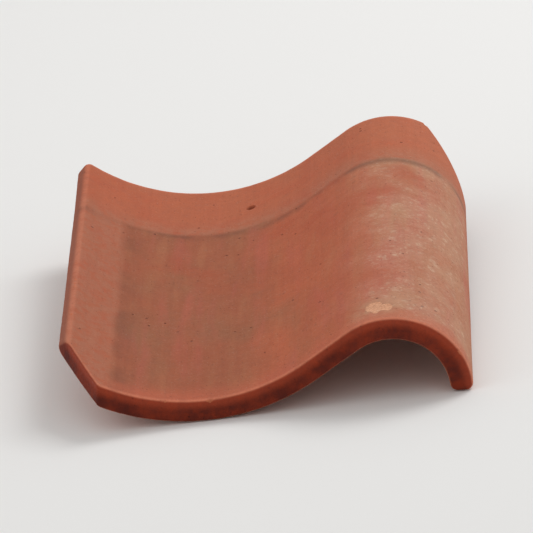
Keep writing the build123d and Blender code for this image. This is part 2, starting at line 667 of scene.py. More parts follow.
@dataclass(frozen=True)
class Nib:
    """The nib under the head of the pan, square to the batten and drafted on its other sides.

    Attributes:
        width: Width at the root.
        thickness: Thickness at the root, along the slope.
        tip: Height of the tip in the roof frame.
        root: Height from which the draft narrows it, in the middle of the wall.
        draft_angle: Draft of three of its sides, in degrees.
        edge_round: Radius of its edges.
        root_round: Radius of the hollow round at the sheet.
        least_corner: Least radius of a ring's corners.
        half_window: Distance across from its middle to the side of its window.
        window_margin: Distance along the slope from its faces to the window's ends.
        window_shift: How far the window's middle lies from its own, towards the tail.
        round_steps: Rings of a quarter circle.
        wall_steps: Rings down the straight side.
        tip_rings: Steps from the rim of the tip to its middle.
    """

    width: float = 46.0
    thickness: float = 20.0
    tip: float = -31.0
    root: float = -7.0
    draft_angle: float = 9.0
    edge_round: float = 2.5
    root_round: float = 4.0
    least_corner: float = 0.3
    half_window: float = 30.0
    window_margin: float = 8.0
    window_shift: float = 0.6
    round_steps: int = 5
    wall_steps: int = 7
    tip_rings: int = 4

    def rings(self) -> Array:
        """The rings from the sheet to the rim of the tip.

        The root is a hollow quarter circle, the side is straight and the rim of the tip a full
        quarter circle. In both, sine and cosine of the turn give how far the ring has closed in
        and come down.

        Returns:
            For each ring its spread, how far it stands off the nib's side, its drop, how far it
            hangs under the sheet, its share of the way down the straight side, and its lean, the
            angle from level of the way that it faces.
        """
        turn = np.linspace(0.0, 90.0, self.round_steps)
        cosine, sine = compass(turn).T
        root = self.root_round
        shares = np.linspace(0.0, 1.0, self.wall_steps)
        hollow = side_by_side(root * (1 - sine), root * (1 - cosine), 0.0, 90.0 - turn)
        straight = side_by_side(0.0, root, shares[1:], 0.0)
        inset, lower = self.edge_round * (cosine - 1), root + self.edge_round * sine
        return np.concatenate([hollow, straight, side_by_side(inset, lower, 1.0, turn)[1:]])

    def level(self, section: Section, x: Array, drop: float, share: float) -> Array:
        """Height of a ring in the roof frame.

        The ring starts from the pan's round back, which lies under the pan's centre by the root
        of its radius squared less X squared. It hangs by the drop, and by its share of the way
        from there to where the rim of the tip begins.

        Args:
            section: The section.
            x: Place of each point across the tile.
            drop: How far the ring hangs under the sheet.
            share: How far it is down the straight side.

        Returns:
            The height of each point.
        """
        back = section.pan_radius + section.wall
        hung = section.pan_radius - np.sqrt(back**2 - x**2) - min(drop, self.root_round)
        start_of_rim = self.tip + self.edge_round
        return hung + (start_of_rim - hung) * share - max(drop - self.root_round, 0.0)

    def surface(
        self, section: Section, bearing: float, rim: Array, square: Array
    ) -> tuple[Patch, Patch]:
        """The rings of the nib, from one in the sheet to the smallest in the tip, and its middle.

        A ring is an outline with rounded corners. It narrows with the draft on three sides and
        stays on the bearing face on the fourth. The tip's inner rings shrink to its middle.

        Args:
            section: The section.
            bearing: Place along the slope of the bearing face.
            rim: Points of the window's rim.
            square: Their places round the edge of the square from -1 to 1.

        Returns:
            The rings, with a row for each, and the one point in the middle of the tip.
        """
        slope = float(np.tan(np.radians(self.draft_angle)))
        made, ways = [], []
        for spread, drop, share, lean in self.rings():
            x = square[:, 0] * (self.width / 2 + spread)
            taper = np.maximum(self.root - self.level(section, x, drop, share), 0.0) * slope
            half_thickness = (self.thickness - taper) / 2
            half = side_by_side(self.width / 2 - taper + spread, half_thickness + spread)
            corner = max(self.edge_round + spread, self.least_corner)
            outline, facing = rounded_outline(square, half, corner)
            x, y = outline[:, 0], bearing + half_thickness + outline[:, 1]
            made.append(side_by_side(x, y, self.level(section, x, drop, share)))
            out, down = compass(lean)
            ways.append(-side_by_side(facing[:, 0] * out, facing[:, 1] * out, -down))
        halfway = (rim + made[0]) / 2
        halfway[:, 2] = self.level(section, halfway[:, 0], 0.0, 0.0)
        tip_rim, middle = made[-1], made[-1].mean(axis=0)
        shares = between(0.0, 1.0, self.tip_rings - 1)
        inner = [tip_rim * (1 - share) + middle * share for share in shares]
        points = np.stack([halfway, *made, *inner])
        inward = np.stack([ways[0], *ways, *(ways[-1] for _ in inner)])
        depth = section.wall + np.clip(-points[..., 2] - section.wall, 0.0, None)
        places = side_by_side(section.floor_station + points[..., 0], points[..., 1], depth, 0.0)
        return Patch(points, places, inward), Patch(middle[None], places[-1, :1], inward[-1, :1])


@dataclass(frozen=True)
class Bite:
    """A chip knocked out of an edge: what lies within a sphere is pushed back to its surface."""

    centre: Array
    radius: float

    @staticmethod
    def at(corner: Array, way_out: Array, radius: float, depth: float) -> "Bite":
        """A bite that reaches a depth below a corner of the clay, from outside."""
        unit = way_out / np.linalg.norm(way_out)
        return Bite(corner + unit * (radius - depth), radius)

    def push(self, points: Array, roughness: Array) -> Array:
        """How far and which way each point moves: away from the centre, out to the sphere.

        Args:
            points: The points, in millimetres.
            roughness: How much further out the sphere's surface lies for each of them.

        Returns:
            The move of each point, which is nought outside the sphere.
        """
        offset = points - self.centre
        distance = np.linalg.norm(offset, axis=-1)
        reach = self.radius + roughness
        short = np.clip(reach - distance, 0.0, None) / np.maximum(distance, LEAST_DISTANCE)
        return offset * short[:, None]


class Layer(NamedTuple):
    """One layer of unevenness: its mean height, the cells of its net in millimetres and its seed."""

    height: float
    cells: Pair
    seed: int

    def lift(self, across: Array, along: Array) -> Array:
        """Heights from nought to twice the mean: the mean times one plus the chance heights."""
        return self.height * (uneven(across, along, self.cells, self.seed) + 1)


@dataclass(frozen=True)
class Relief:
    """How far the clay lies within its true faces after pressing, drying and firing.

    Attributes:
        weathered: A broad swell, a shorter ripple and the drag lines of the die, up the slope.
        underside: Its own swell and the grain of the sanded mould.
        cut: The waver of the hand-cut ends, wide and narrow.
        blend: Depths between which the underside's layers take over.
    """

    weathered: tuple[Layer, ...] = (
        Layer(0.20, (74.0, 96.0), 41),
        Layer(0.07, (23.0, 31.0), 42),
        Layer(0.035, (3.6, 150.0), 43),
    )
    underside: tuple[Layer, ...] = (Layer(0.20, (58.0, 70.0), 44), Layer(0.06, (4.5, 5.5), 45))
    cut: tuple[Layer, ...] = (Layer(0.25, (47.0, 50.0), 48), Layer(0.10, (9.0, 50.0), 49))
    blend: Pair = (3.0, 11.0)

    def waver(self, station: Array) -> Array:
        """How far the hand-cut ends lie within their true lines: chance heights along the S."""
        return sum(layer.lift(station, 0 * station) for layer in self.cut)

    def sink(self, station: Array, along: Array, depth: Array) -> Array:
        """Depth of the real surface below the true one: the sum of a face's layers.

        The two faces are blended by the depth in the wall.

        Args:
            station: Station of each point.
            along: Its place along the slope.
            depth: Its depth in the wall.

        Returns:
            How far each point sinks, in millimetres.
        """
        faces = (self.weathered, self.underside)
        top, below = (sum(layer.lift(station, along) for layer in layers) for layers in faces)
        share = ease(depth, *self.blend)
        return top * (1 - share) + below * share


@dataclass(frozen=True)
class Wear:
    """How the edges are chipped and rubbed, in millimetres. A pair is a range.

    Attributes:
        tail_chips: Stations of the chips at the tail that are set.
        head_chips: Stations of the chips at the head.
        more_tail_chips: Number of chips at chance stations of the tail.
        chip_lean: How far a chip's way out leans along the slope, for one out of the section.
        chip_radius: Radius of the sphere that takes out a chip.
        chip_depth: Depth of a chip.
        lobes: For each lobe of the spall, how far it lies off the crown towards the flank, how
            far up from the tail, its radius and its depth.
        nick_point: Point of a long edge's round at which the nicks lie.
        nicks: For the roll's edge and the lip's, between which places and how many.
        nick_lean: The lean of a nick's way out.
        nick_radius: Radius of the sphere that takes out a nick.
        nick_depth: Depth of a nick.
        rough: How far broken clay is uneven, either way.
        rough_cells: Cells of that unevenness.
        rough_skew: How much the depth counts in it, for one of the station.
        rough_seed: Chooses it.
        seed: Chooses the chance chips and nicks.
        end_rub: Distances from an end between which its worn arris fades out.
        end_rub_depth: The same for the depth below the weathered face.
        edge_rub_rise: Depths between which the rub of a long edge sets in.
        edge_rub_fall: Depths between which it fades out.
        edge_rub: Rub of a long edge, for one at an end.
        fresh: Moves of a point between which its clay comes to show as fresh.
        least_move: Move from which a point is counted as lying in a chip.
    """

    tail_chips: tuple[float, ...] = (31.0, 97.0, 171.0, 262.0)
    head_chips: tuple[float, ...] = (19.0, 146.0, 201.0, 239.0)
    more_tail_chips: int = 5
    chip_lean: Pair = (0.7, 1.5)
    chip_radius: Pair = (2.2, 6.0)
    chip_depth: Pair = (1.1, 2.0)
    lobes: tuple[tuple[float, ...], ...] = (
        (12.5, 23.0, 26.0, 1.3),
        (5.5, 19.5, 17.0, 1.2),
        (11.0, 15.5, 12.0, 0.9),
    )
    nick_point: int = 2
    nicks: tuple[tuple[float, float, int], ...] = ((-140.0, 110.0, 9), (-110.0, 80.0, 7))
    nick_lean: Pair = (-0.3, 0.3)
    nick_radius: Pair = (3.0, 9.0)
    nick_depth: Pair = (0.3, 0.9)
    rough: float = 0.22
    rough_cells: Pair = (3.1, 3.1)
    rough_skew: float = 3.0
    rough_seed: int = 77
    seed: int = 2024
    end_rub: Pair = (0.8, 4.5)
    end_rub_depth: Pair = (1.0, 4.0)
    edge_rub_rise: Pair = (0.1, 0.8)
    edge_rub_fall: Pair = (1.5, 4.0)
    edge_rub: float = 0.5
    fresh: Pair = (0.1, 0.5)
    least_move: float = 0.02


@dataclass
class Pantile:
    """The whole tile as one closed skin: sheet, cut corners, nail hole, nib and chipped edges.

    Attributes:
        section: The S across the tile.
        nail_hole: The hole beside the nib.
        nib: The nib under the head.
        relief: The unevenness of its faces.
        wear: Its chips and rubbed edges.
        chart: The flat chart of its skin.
        length: Length along the slope.
        cut_across: Width of a cut corner.
        cut_along: Length of a cut corner.
        nib_setback: Distance from the head to the nib.
        tail_arris: Radius of the tail's arris on the weathered side.
        plain_arris: Radius of all other arrises.
        end_relief: Share of the relief on the end faces, in the middle of the wall.
        arris_steps: Rows round an arris.
        fine_rows: Rows of the finer stretch by the tail.
        fine_share: Its share of the length.
        rows: Rows of the rest.
    """

    section: Section = field(default_factory=Section)
    nail_hole: NailHole = field(default_factory=NailHole)
    nib: Nib = field(default_factory=Nib)
    relief: Relief = field(default_factory=Relief)
    wear: Wear = field(default_factory=Wear)
    chart: Chart = field(default_factory=Chart)
    length: float = 343.0
    cut_across: float = 26.0
    cut_along: float = 55.0
    nib_setback: float = 8.0
    tail_arris: float = 2.2
    plain_arris: float = 1.5
    end_relief: float = 0.8
    arris_steps: int = 5
    fine_rows: int = 10
    fine_share: float = 0.024
    rows: int = 158

    def __post_init__(self) -> None:
        """Works out the closed section once, for every method."""
        self.ring = Ring.of(self.section)

    @property
    def bearing(self) -> float:
        """Place along the slope of the nib's bearing face."""
        return self.length / 2 - self.nib_setback - self.nib.thickness

    def end_line(self, x: Array, end: End) -> Array:
        """Place along the slope of an end at each X: straight, then slanting at the cut corner.

        The tail's cut rises towards the lip and the head's falls towards the roll, each by its
        length along for its width across.

        Args:
            x: Places across the tile.
            end: The end.

        Returns:
            One place for each X.
        """
        low, high = self.section.reach()
        inside = low + self.cut_across - x if end is End.TAIL else x - high + self.cut_across
        cut = np.clip(inside / self.cut_across, 0.0, 1.0) * self.cut_along
        return end.value * (self.length / 2 - cut)

    def arris(self, end: End, depth: Array) -> Array:
        """Radius of the rounded arris of an end, softer on the weathered side of the tail.

        Args:
            end: The end.
            depth: Depths in the wall.

        Returns:
            One radius for each depth.
        """
        share = np.clip(depth / self.section.wall, 0.0, 1.0)
        soft = self.tail_arris if end is End.TAIL else self.plain_arris
        return soft + (self.plain_arris - soft) * share

    def body_rows(self) -> Array:
        """Shares of the way from tail to head at which the rows lie, closer by the tail."""
        fine = np.linspace(0.0, self.fine_share, self.fine_rows)
        return np.concatenate([fine, np.linspace(self.fine_share, 1.0, self.rows)[1:]])

    def skin(self) -> tuple[Array, Array]:
        """The body's grid of points and how squarely each faces its end.

        Rows go from tail to head and columns round the closed section. At an end the section
        shrinks by the arris radius times one less the cosine of the turn, while the row closes
        on the end by the radius times the sine: a quarter circle. Between the ends each column
        runs straight from its own tail to its own head.

        Returns:
            Points with X, Y and Z in the last axis, and the sine of the turn, negative at the tail.
        """
        turn = np.radians(np.linspace(90.0, 0.0, self.arris_steps, endpoint=False))
        shares = self.body_rows()
        at_tail = np.concatenate([turn, 0 * shares, 0 * turn])[:, None]
        angle = {End.TAIL: at_tail, End.HEAD: at_tail[::-1]}
        way = np.concatenate([0 * turn, shares, 0 * turn + 1])[:, None]
        radius = {end: self.arris(end, self.ring.depth)[None, :] for end in End}
        inset = sum(radius[end] * (1 - np.cos(angle[end])) for end in End)
        flat = self.ring.points[None] - inset[..., None] * self.ring.normals[None]
        waver = self.relief.waver(self.ring.station)
        tail, head = (
            self.end_line(flat[..., 0], end)
            - end.value * (waver + radius[end] * (1 - np.sin(angle[end])))
            for end in End
        )
        facing = np.sin(angle[End.HEAD]) - np.sin(angle[End.TAIL])
        return along_slope(flat, tail + (head - tail) * way), np.broadcast_to(facing, inset.shape)

    def below(self, column: Array | int) -> Array | int:
        """Number in the ring of the underside point that lies under a weathered column."""
        return 2 * self.section.stations + self.section.edge_stations - 1 - column

    def under(self, block: Window) -> Window:
        """The block of the underside that lies under a block of the weathered face."""
        left, right = block.columns
        return Window(block.rows, (self.below(right), self.below(left)))

    def lines(self, points: Array) -> tuple[Array, Array]:
        """Stations of the weathered columns and places along the slope of the rows."""
        stations = self.section.face_stations(Face.WEATHERED)
        return stations, points[:, self.section.stations // 2, 1]

    def add_body(self, shell: Shell) -> tuple[Body, Array]:
        """Adds the points of the body and lays its grid out on the flat chart.

        Across the chart go the steps round the section, and up it the places along the slope,
        with the rounded arris of the tail laid out flat.

        Args:
            shell: Takes the new points.

        Returns:
            The body's grid and its places on the chart.
        """
        ring = self.ring
        points, facing = self.skin()
        places = side_by_side(ring.station, points[..., 1], ring.depth, facing)
        inward = np.broadcast_to(-along_slope(ring.normals, 0.0), points.shape)
        numbers = closed(shell.add_points(Patch(points, places, inward)))
        left, foot = self.chart.body
        steps = np.hypot(*np.diff(ring.points, axis=0, append=ring.points[:1]).T)
        around = left + np.concatenate([[0.0], np.cumsum(steps)])
        turned = self.arris(End.TAIL, ring.depth) * facing
        up = points[..., 1] + turned + self.length / 2 + foot
        leave_out = np.zeros(np.subtract(numbers.shape, 1), bool)
        return Body(points, numbers, leave_out), side_by_side(around, closed(up))

    def add_nail_hole(self, shell: Shell, body: Body) -> None:
        """Works the nail hole into the body: rings from the top window down to the one below.

        Args:
            shell: Takes the new points and faces.
            body: The body's grid, which gets both windows.
        """
        section, hole, half = self.section, self.nail_hole, self.nail_hole.half_window
        stations, along = self.lines(body.points)
        middle = np.array([hole.station(section), self.bearing - hole.before_bearing])
        column, row = nearest(stations, middle[0]), nearest(along, middle[1])
        block = Window((row - half, row + half), (column - half, column + half))
        block.clear(body.leave_out)
        self.under(block).clear(body.leave_out)
        rows, columns = block.rim()
        rim = side_by_side(stations[columns], along[rows])
        fresh = shell.add_points(hole.surface(section, middle, rim))
        top, low = body.numbers[rows, columns], body.numbers[rows, self.below(columns)]
        rings = closed(np.concatenate([top[None], fresh, low[None]]))
        left, foot = self.chart.hole
        over = left + np.linspace(0.0, self.chart.hole_width, rings.shape[1])
        up = foot + self.chart.hole_ring * np.arange(rings.shape[0])[:, None]
        shell.add_grid(rings, side_by_side(over, up))

    def add_nib(self, shell: Shell, body: Body) -> None:
        """Works the nib into the underside: rings from the window down its sides to the tip.

        Args:
            shell: Takes the new points and faces.
            body: The body's grid, which gets the window.
        """
        section, nib = self.section, self.nib
        stations, along = self.lines(body.points)
        aside = nib.half_window * section.pan_radius / (section.pan_radius + section.wall)
        middle = self.bearing + nib.thickness / 2 - nib.window_shift
        reach = nib.thickness / 2 + nib.window_margin
        left, right = (nearest(stations, section.floor_station + side * aside) for side in (-1, 1))
        low, high = (nearest(along, middle + side * reach) for side in (-1, 1))
        block = self.under(Window((low, high), (left, right)))
        block.clear(body.leave_out)
        rows, columns = block.rim()
        rim = body.points[rows, columns]
        lowest, highest = rim.min(axis=0), rim.max(axis=0)
        square = (2 * rim - lowest - highest)[:, :2] / (highest - lowest)[:2]
        sides, middle_of_tip = nib.surface(section, self.bearing, rim, square)
        fresh = shell.add_points(sides)
        tip = np.repeat(shell.add_points(middle_of_tip)[None], len(rows), axis=1)
        rings = closed(np.concatenate([body.numbers[rows, columns][None], fresh, tip]))
        size = np.linspace(1.0, 0.0, len(rings))[:, None, None] * np.array(self.chart.nib_half)
        shell.add_grid(rings, closed(square[None]) * size + np.array(self.chart.nib))

    def add_end(self, shell: Shell, body: Body, end: End) -> None:
        """Closes one end with a flat face between the weathered side and the underside.

        Its points lie on straight lines through the wall, at even shares of the way from the
        weathered point to the one under it, and on the end's own line along the slope. The two
        long edges are its first and last lines.

        Args:
            shell: Takes the new points and faces.
            body: The body's grid.
            end: The end that is closed.
        """
        section, chart, edge = self.section, self.chart, self.section.edge_stations
        margin, scale = chart.end_margin, chart.end_scale
        rim, line = body.points[end.row], body.numbers[end.row]
        columns = np.arange(section.stations)
        share = between(0.0, 1.0, edge)
        top, low = rim[columns, None], rim[self.below(columns), None]
        inner = top + (low - top) * share[None, :, None]
        station = self.ring.station[columns, None]
        inner[..., 1] = self.end_line(inner[..., 0], end) - end.value * self.relief.waver(station)
        places = side_by_side(station, inner[..., 1], section.wall * share, end.value)
        into_end = -end.value * np.sin(np.pi * share) * self.end_relief
        inward = np.broadcast_to(side_by_side(0.0, into_end, 0.0), inner.shape)
        fresh = shell.add_points(Patch(inner, places, inward))
        middle = [line[columns, None], fresh, line[self.below(columns), None]]
        lip, roll = line[::-1][: edge + 2], line[columns[-1] : columns[-1] + edge + 2]
        grid = np.concatenate([lip[None], np.concatenate(middle, axis=1), roll[None]])
        across = [[-margin], self.ring.station[columns], [section.last_station + margin]]
        over = chart.end_left + scale * np.concatenate(across)[:, None]
        foot = chart.tail_foot if end is End.TAIL else chart.head_foot
        flat = side_by_side(over, foot + scale * np.linspace(0.0, section.wall, edge + 2))
        turned = slice(None, None, -end.value)
        shell.add_grid(grid[:, turned], flat[:, turned])

    def build(self) -> tuple[Shell, Array, dict[str, Array]]:
        """Puts the body, the hole, the nib and the two end faces into one shell.

        Returns:
            The shell, its points in the roof frame in millimetres, and two marks of each point:
            its place in the clay, in metres, and its wear.
        """
        shell = Shell()
        body, chart = self.add_body(shell)
        self.add_nail_hole(shell, body)
        self.add_nib(shell, body)
        shell.add_grid(body.numbers, chart, body.leave_out)
        for end in End:
            self.add_end(shell, body, end)
        true_points, places, inward = shell.gathered()
        sink = self.relief.sink(places[:, 0], places[:, 1], places[:, 2])
        worn = true_points + inward * sink[:, None]
        chipped = self.chip(worn, places)
        moved = np.linalg.norm(chipped - worn, axis=-1)
        in_chips = int((moved > self.wear.least_move).sum())
        log.info("shell: %d of %d points lie in chips", in_chips, len(moved))
        marks = {"clay_place": places[:, :3] * MM, "clay_wear": self.rub(true_points, places, moved)}
        return shell, chipped, marks

    def chip(self, points: Array, places: Array) -> Array:
        """Knocks the small chips out of the arrises, the long edges and the nib.

        Args:
            points: The worn points in the roof frame.
            places: Their stations, places along the slope and depths.

        Returns:
            The points with every bite pushed in.
        """
        wear, moved = self.wear, points.copy()
        across = places[:, 0] + wear.rough_skew * places[:, 2]
        rough = wear.rough * uneven(across, places[:, 1], wear.rough_cells, wear.rough_seed)
        for bite in self.bites():
            moved += bite.push(moved, rough)
        return moved

    def bites(self) -> list[Bite]:
        """The chips round the ends, the spall at the tail of the crown and the long edges' nicks.

        Returns:
            The bites, in the order in which they are knocked out.
        """
        wear, section, ring = self.wear, self.section, self.ring
        chance = np.random.default_rng(wear.seed)
        made: list[Bite] = []

        def knock(flat: Array, normal: Array, along: float, lean: float, *sizes: float) -> None:
            """Adds a bite at a place of the section, with its radius and depth as sizes."""
            made.append(Bite.at(along_slope(flat, along), along_slope(normal, lean), *sizes))

        first, last = section.face_stations(Face.WEATHERED)[[0, -1]]
        spots = [(End.TAIL, station) for station in wear.tail_chips]
        spots += [(End.HEAD, station) for station in wear.head_chips]
        spots += [(End.TAIL, station) for station in chance.uniform(first, last, wear.more_tail_chips)]
        for end, station in spots:
            flat, normal = section.trace(station)
            lean = end.value * chance.uniform(*wear.chip_lean)
            sizes = chance.uniform(*wear.chip_radius), chance.uniform(*wear.chip_depth)
            knock(flat, normal, self.end_line(flat[0], end), lean, *sizes)
        for aside, past_tail, radius, depth in wear.lobes:
            flat, normal = section.trace(section.crown_station - aside)
            knock(flat, normal, past_tail - self.length / 2, 0.0, radius, depth)
        points = (section.stations + wear.nick_point, -wear.nick_point - 1)
        for point, (low, high, count) in zip(points, wear.nicks):
            for along in chance.uniform(low, high, count):
                lean = chance.uniform(*wear.nick_lean)
                sizes = chance.uniform(*wear.nick_radius), chance.uniform(*wear.nick_depth)
                knock(ring.points[point], ring.normals[point], along, lean, *sizes)
        return made

    def rub(self, points: Array, places: Array, moved: Array) -> Array:
        """Wear of each point: worn arris, fresh clay in a chip, and which end it faces.

        Args:
            points: The true points in the roof frame.
            places: Their stations, places along the slope, depths and facing.
            moved: How far the chips moved each of them.

        Returns:
            The three wears in the last axis.
        """
        wear, depth, facing = self.wear, places[:, 2], places[:, 3]
        gaps = [np.abs(points[:, 1] - self.end_line(points[:, 0], end)) for end in End]
        ends = (1 - ease(np.minimum(*gaps), *wear.end_rub)) * (1 - ease(depth, *wear.end_rub_depth))
        edges = ease(depth, *wear.edge_rub_rise) * (1 - ease(depth, *wear.edge_rub_fall))
        arris = np.maximum(ends, wear.edge_rub * edges * (1 - np.abs(facing)))
        return side_by_side(arris, ease(moved, *wear.fresh), facing)


@dataclass(frozen=True)
class Placement:
    """Where the roof frame lies on the floor: its three axes and its origin, in metres."""

    axes: Array
    origin: Array

    @staticmethod
    def from_mounts(mounts: list[dict], lap_along: float) -> "Placement":
        """Reads the placement from two mounts.

        The nib's bearing face looks down the slope, and the lap mount stands on the floor of the
        pan and looks out of the roof, so Y is the first way turned round, Z the second, and X is
        square to both.

        Args:
            mounts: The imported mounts.
            lap_along: Place of the lap mount along the slope, in metres.

        Returns:
            The placement.
        """
        named = {mount["name"]: mount for mount in mounts}
        along = -np.array(named["nib_bearing_face"]["axis"])
        out = np.array(named["head_lap_on_pan"]["axis"])
        along, out = along / np.linalg.norm(along), out / np.linalg.norm(out)
        axes = np.stack([np.cross(along, out), along, out])
        lap = np.array(named["head_lap_on_pan"]["pos_m"])
        return Placement(axes=axes, origin=lap - along * lap_along)

    def place(self, points: Array) -> Array:
        """Moves points from the roof frame in millimetres to the floor in metres."""
        return self.origin + points * MM @ self.axes


def pigment(red: float, green: float, blue: float) -> tuple[float, float, float, float]:
    """A colour given as it looks on a screen, 0 to 255, as the linear values of a shader.

    Each value is divided by 255 and, above 0.04045, goes through the power 2.4 of the screen
    curve: ((value + 0.055) / 1.055) to the power 2.4.

    Args:
        red: Red on the screen.
        green: Green on the screen.
        blue: Blue on the screen.

    Returns:
        Red, green and blue for the shader, and one for a full cover.
    """
    screen = np.array([red, green, blue]) / 255.0
    linear = np.where(screen > 0.04045, ((screen + 0.055) / 1.055) ** 2.4, screen / 12.92)
    return (*(float(value) for value in linear), 1.0)


class Bench:
    """The shader nodes of one material or sky, with short ways to add and join them."""

    def __init__(self, owner: bpy.types.Material | bpy.types.World) -> None:
        """Starts an empty node tree.

        Args:
            owner: The new material or sky.
        """
        owner.use_nodes = True
        self.owner, self.tree = owner, owner.node_tree
        self.tree.nodes.clear()

    def add(self, kind: str, inputs: dict, **settings: object) -> bpy.types.Node:
        """Adds a node.

        Args:
            kind: Kind of node, without the words that every kind starts with.
            inputs: A value or another node's output for each named or numbered input.
            settings: Properties of the node.

        Returns:
            The node.
        """
        node = self.tree.nodes.new("ShaderNode" + kind)
        for name, value in settings.items():
            setattr(node, name, value)
        for name, value in inputs.items():
            if isinstance(value, Socket):
                self.tree.links.new(value, node.inputs[name])
            else:
                node.inputs[name].default_value = value
        return node

    def finish(self, output: str, shader: Socket) -> bpy.types.Material | bpy.types.World:
        """Joins the shader to an output node of the given kind and returns what it dresses."""
        self.add(output, {0: shader})
        return self.owner

    def maths(self, operation: str, *values: Value) -> Socket:
        """A sum, product or other operation on one to three numbers."""
        return self.add("Math", dict(enumerate(values)), operation=operation).outputs[0]

    def product(self, first: Value, *others: Value) -> Value:
        """All the numbers multiplied together, in their order.

        Args:
            first: The first number.
            others: The numbers that it is multiplied by.

        Returns:
            The product.
        """
        for other in others:
            first = self.maths("MULTIPLY", first, other)
        return first

    def total(self, first: Value, *others: Value) -> Value:
        """All the numbers added up, in their order.

        Args:
            first: The first number.
            others: The numbers that are added to it.

        Returns:
            The sum.
        """
        for other in others:
            first = self.maths("ADD", first, other)
        return first

    def weighed(self, *parts: tuple[Value, ...]) -> Value:
        """The sum of the parts, each the product of its numbers."""
        return self.total(*(self.product(*part) for part in parts))

    def larger(self, first: Value, second: Value) -> Socket:
        """The larger of two numbers."""
        return self.maths("MAXIMUM", first, second)

    def rest(self, value: Value) -> Socket:
        """One less the number."""
        return self.maths("SUBTRACT", 1.0, value)

    def centred(self, noise: Value) -> Socket:
        """A noise moved down so that its middle is nought."""
        return self.maths("SUBTRACT", noise, 0.5)

    def distance(self, value: Value, middle: float) -> Socket:
        """How far a number lies from a middle, either way."""
        return self.maths("ABSOLUTE", self.maths("SUBTRACT", value, middle))

    def scaled(self, vector: Value, factor: Triple, plus: Socket | Triple) -> Socket:
        """A vector times a factor on each axis, plus another vector."""
        inputs = {0: vector, 1: factor, 2: plus}
        return self.add("VectorMath", inputs, operation="MULTIPLY_ADD").outputs[0]

    def fade(
        self, value: Value, start: float, stop: float, low: float = 0.0, high: float = 1.0
    ) -> Socket:
        """Goes smoothly from low to high while the value goes from start to stop.

        Args:
            value: The number that is followed.
            start: Where the fade starts, which may lie above its stop.
            stop: Where it stops.
            low: Result at the start.
            high: Result at the stop.

        Returns:
            The result.
        """
        inputs = {0: value, 1: start, 2: stop, 3: low, 4: high}
        if stop < start:
            inputs = {0: value, 1: stop, 2: start, 3: high, 4: low}
        return self.add("MapRange", inputs, interpolation_type="SMOOTHSTEP").outputs[0]

    def noise(
        self,
        place: Socket,
        size: float,
        detail: float,
        stretch: Triple = (1.0, 1.0, 1.0),
        seed: float = 0.0,
        rough: float = 0.55,
    ) -> Socket:
        """Cloudy noise from 0 to 1.

        Args:
            place: Coordinates in metres.
            size: Size of its largest forms, in millimetres.
            detail: Number of finer layers.
            stretch: Factor on each coordinate: below one draws the forms out that way.
            seed: Shifts the noise, so that two of one size differ.
            rough: Strength of each finer layer.

        Returns:
            The noise.
        """
        shifted = self.scaled(place, stretch, (seed, -seed, 2 * seed))
        inputs = {"Vector": shifted, "Scale": 1 / (size * MM), "Detail": detail, "Roughness": rough}
        return self.add("TexNoise", inputs).outputs[0]

    def spots(
        self, place: Socket, size: float, radius: float, share: float, seed: float = 0.0
    ) -> Socket:
        """Scattered soft dots, one at most in each cell of a chance mosaic.

        Args:
            place: Coordinates in metres.
            size: Size of a cell, in millimetres.
            radius: Radius of a dot, as a share of a cell.
            share: Share of the cells that hold a dot.
            seed: Shifts the dots.

        Returns:
            One in a dot and nought elsewhere.
        """
        shifted = self.add("VectorMath", {0: place, 1: (seed, seed, -seed)}, operation="ADD")
        cells = self.add("TexVoronoi", {"Vector": shifted.outputs[0], "Scale": 1 / (size * MM)})
        colour = self.add("SeparateColor", {0: cells.outputs["Color"]})
        near = self.fade(cells.outputs["Distance"], radius, 0.5 * radius)
        return self.product(near, self.fade(colour.outputs[0], 1 - share, 1 - 0.8 * share))

    def mix(self, share: Value, first: Paint, second: Paint, blend: str = "MIX") -> Socket:
        """Blends two colours by a share.

        Args:
            share: Nought for the first colour and one for the second.
            first: The first colour, from a node or as it looks on a screen.
            second: The second, likewise.
            blend: How they are blended.

        Returns:
            The blend.
        """
        pair = (pigment(*paint) if isinstance(paint, tuple) else paint for paint in (first, second))
        inputs = dict(zip(MIX_INPUTS, (share, *pair)))
        settings = {"data_type": "RGBA", "blend_type": blend, "clamp_result": False}
        return self.add("Mix", inputs, **settings).outputs[MIX_RESULT]

    def coated(self, colour: Socket, *coats: Coat) -> Socket:
        """Lays coats over a colour, one on the other.

        Args:
            colour: The colour below them.
            coats: How thickly each covers, from nought to one, and its colour.

        Returns:
            The colour on top.
        """
        for share, paint in coats:
            colour = self.mix(share, colour, paint)
        return colour

    def ramp(self, value: Value, stops: list[tuple[float, Triple]]) -> Socket:
        """A colour for each value, eased between the given stops.

        Args:
            value: The number that chooses the colour.
            stops: Numbers and their colours as they look on a screen.

        Returns:
            The colour.
        """
        node = self.add("ValToRGB", {0: value})
        band = node.color_ramp
        band.interpolation = "EASE"
        while len(band.elements) < len(stops):
            band.elements.new(0.5)
        for element, (position, colour) in zip(band.elements, stops):
            element.position, element.color = position, pigment(*colour)
        return node.outputs[0]


